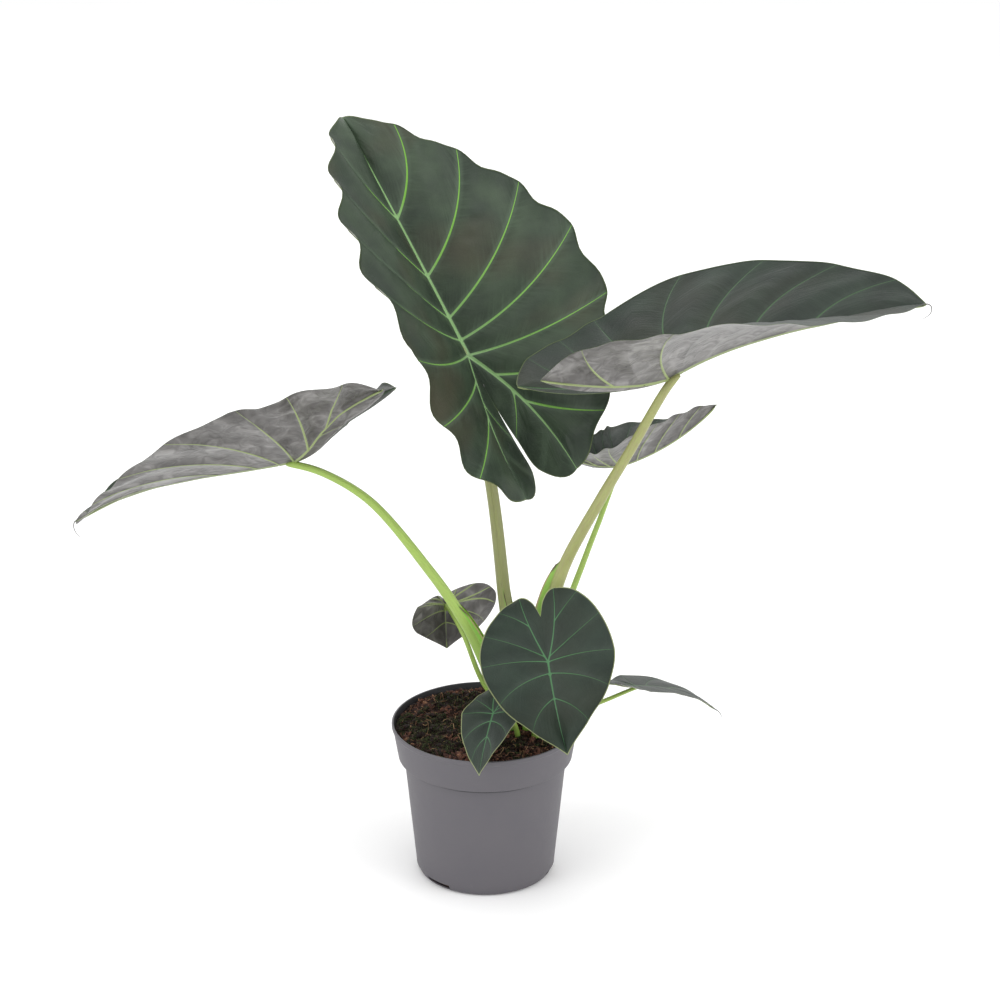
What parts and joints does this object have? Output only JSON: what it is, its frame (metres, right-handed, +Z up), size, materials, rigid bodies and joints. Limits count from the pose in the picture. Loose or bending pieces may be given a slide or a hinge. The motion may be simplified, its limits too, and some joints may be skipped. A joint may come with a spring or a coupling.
{
  "type": "potted foliage plant",
  "caption": "Potted tropical foliage plant: dark shield-shaped blades on sheathed green stalks rising from soil in a round stepped nursery pot.",
  "frame": {"origin": "centre of the underside of the pot, on the surface that the pot stands on", "axes": "+Z up; -Y towards the viewer of the picture; +X to the viewer's right"},
  "size_m": [0.8408, 0.409, 0.7386],
  "materials": {
    "pot": "matt grey injection-moulded plastic",
    "soil": "rough moist coir and peat potting mix",
    "blade": "satin dark green leaf",
    "petiole": "smooth light green stalk",
    "shoot": "smooth bright green shoot"
  },
  "bodies": {
    "root": {"pot": "pot", "soil": "soil", "shoot": "shoot", "petiole_crown": "petiole", "petiole_right": "petiole", "petiole_left": "petiole", "petiole_back": "petiole", "petiole_curled": "petiole", "petiole_heart": "petiole", "petiole_low": "petiole", "petiole_side": "petiole", "blade_crown": "blade", "blade_right": "blade", "blade_left": "blade", "blade_back": "blade", "blade_curled": "blade", "blade_heart": "blade", "blade_low": "blade", "blade_side": "blade"}
  },
  "joints": []
}
